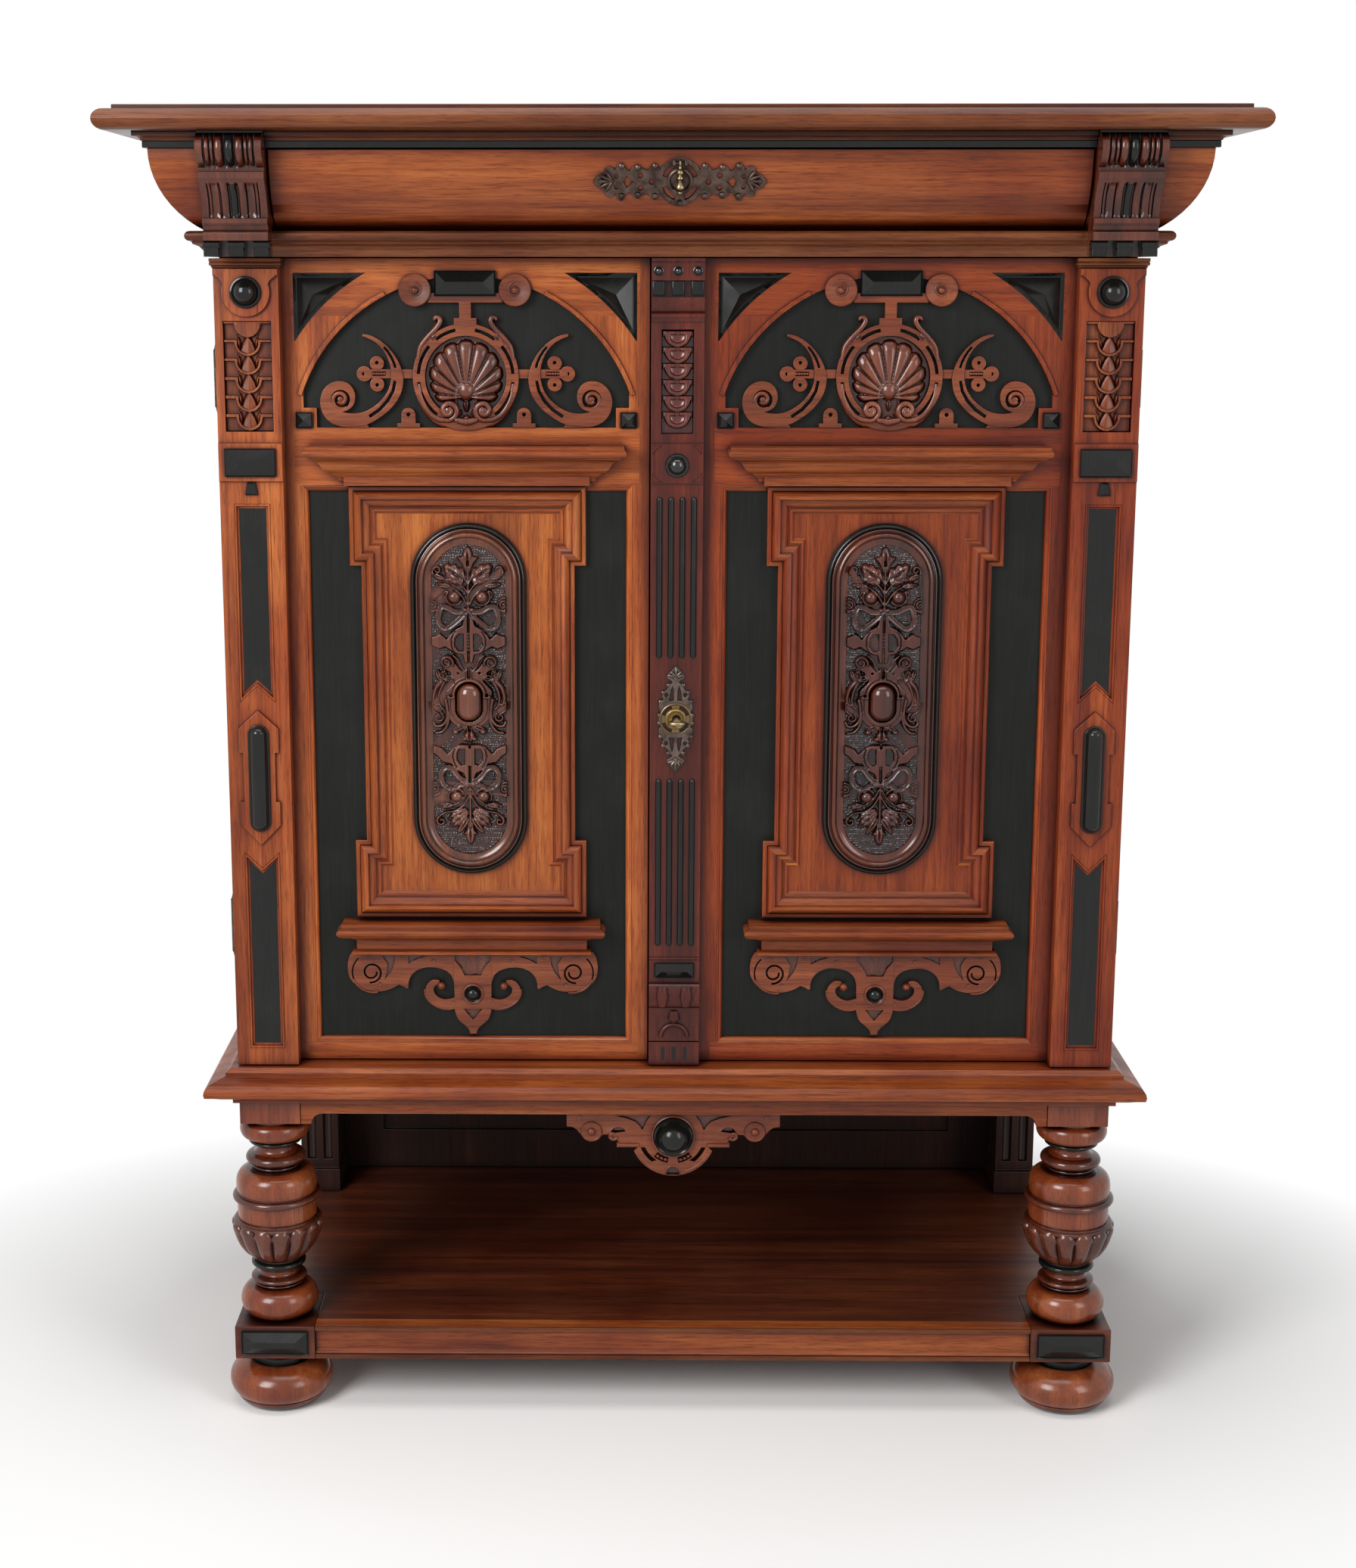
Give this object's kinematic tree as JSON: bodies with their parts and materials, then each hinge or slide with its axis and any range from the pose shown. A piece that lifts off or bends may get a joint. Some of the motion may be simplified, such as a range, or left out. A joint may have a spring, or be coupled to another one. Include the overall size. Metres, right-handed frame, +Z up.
{
  "type": "two-door cupboard on an open stand",
  "caption": "Carved cupboard with arched door panels, frieze drawer and overhanging cornice, on turned balusters over an open lower shelf.",
  "frame": {"origin": "centre of the footprint on the floor", "axes": "+Z up, front faces -Y, +X to the right of someone facing the front"},
  "size_m": [1.342, 0.674, 1.655],
  "materials": {
    "walnut": "polished walnut, satin",
    "walnut_dark": "dark stained walnut, satin",
    "ebonised": "black stained and polished wood",
    "iron": "dark patinated iron",
    "brass": "worn brass"
  },
  "bodies": {
    "case": {"bun_feet": "walnut", "plinth_blocks": "walnut_dark", "stand_ebony_mounts": "ebonised", "lower_rails": "walnut", "lower_shelf": "walnut_dark", "baluster_left": "walnut", "baluster_right": "walnut", "rear_posts": "walnut_dark", "lower_back_panel": "walnut_dark", "front_apron": "walnut", "side_aprons": "walnut", "apron_pendant": "walnut", "base_moulding": "walnut", "cupboard_bottom": "walnut_dark", "side_left": "walnut", "side_right": "walnut", "side_panels": "ebonised", "back_panel": "walnut_dark", "shelves": "walnut_dark", "inner_bearers": "walnut_dark", "architrave": "walnut", "frieze_ends": "walnut", "cornice_ebony": "ebonised", "cornice_moulding": "walnut", "top_slab": "walnut", "corbels": "walnut_dark", "hinge_leaves": "iron"},
    "drawer": {"drawer_front": "walnut", "drawer_sides": "walnut_dark", "drawer_back": "walnut_dark", "drawer_bottom": "walnut_dark", "drawer_plate": "iron"},
    "drop_pull": {"drawer_pull": "brass"},
    "left_door": {"left_door_frame": "walnut", "left_door_panels": "ebonised", "left_strapwork": "walnut_dark", "left_raised_frame": "walnut", "left_oval_carving": "walnut_dark", "left_cornices": "walnut", "left_pilaster": "walnut", "left_ebony_mounts": "ebonised", "left_hinges": "iron", "left_door_ironwork": "iron"},
    "upper_door_bolt": {"top_bolt": "iron"},
    "lower_door_bolt": {"bottom_bolt": "iron"},
    "right_door": {"right_door_frame": "walnut", "right_door_panels": "ebonised", "right_strapwork": "walnut_dark", "right_raised_frame": "walnut", "right_oval_carving": "walnut_dark", "right_cornices": "walnut", "right_pilaster": "walnut", "right_ebony_mounts": "ebonised", "right_hinges": "iron", "centre_strip": "walnut_dark", "door_plate": "iron", "lock_case": "iron"},
    "door_key": {"key": "brass"},
    "lock_bar": {"lock_bolt": "iron"}
  },
  "joints": [
    {"name": "left_door_swing", "type": "hinge", "parent": "case", "child": "left_door", "pos_m": [-0.563, -0.1765, 0.98], "axis": [0, 0, -1], "range_deg": [0, 165]},
    {"name": "right_door_swing", "type": "hinge", "parent": "case", "child": "right_door", "pos_m": [0.563, -0.1765, 0.98], "axis": [0, 0, 1], "range_deg": [0, 165]},
    {"name": "drawer_slide", "type": "slide", "parent": "case", "child": "drawer", "axis": [0, -1, 0], "range_m": [0, 0.36]},
    {"name": "drop_pull_swing", "type": "hinge", "parent": "drawer", "child": "drop_pull", "pos_m": [0, -0.291, 1.59033], "axis": [-1, 0, 0], "range_deg": [0, 80]},
    {"name": "key_turn", "type": "hinge", "parent": "right_door", "child": "door_key", "pos_m": [0.001, -0.173, 0.9225], "axis": [0, 1, 0], "range_deg": [0, 360]},
    {"name": "lock_bar_slide", "type": "slide", "parent": "right_door", "child": "lock_bar", "axis": [-1, 0, 0], "range_m": [0, 0.014]},
    {"name": "upper_bolt_slide", "type": "slide", "parent": "left_door", "child": "upper_door_bolt", "axis": [0, 0, 1], "range_m": [0, 0.014]},
    {"name": "lower_bolt_slide", "type": "slide", "parent": "left_door", "child": "lower_door_bolt", "axis": [0, 0, -1], "range_m": [0, 0.014]}
  ],
  "couplings": [
    {"joint": "key_turn", "follows": "lock_bar_slide", "rad_per_m": 448.79}
  ]
}
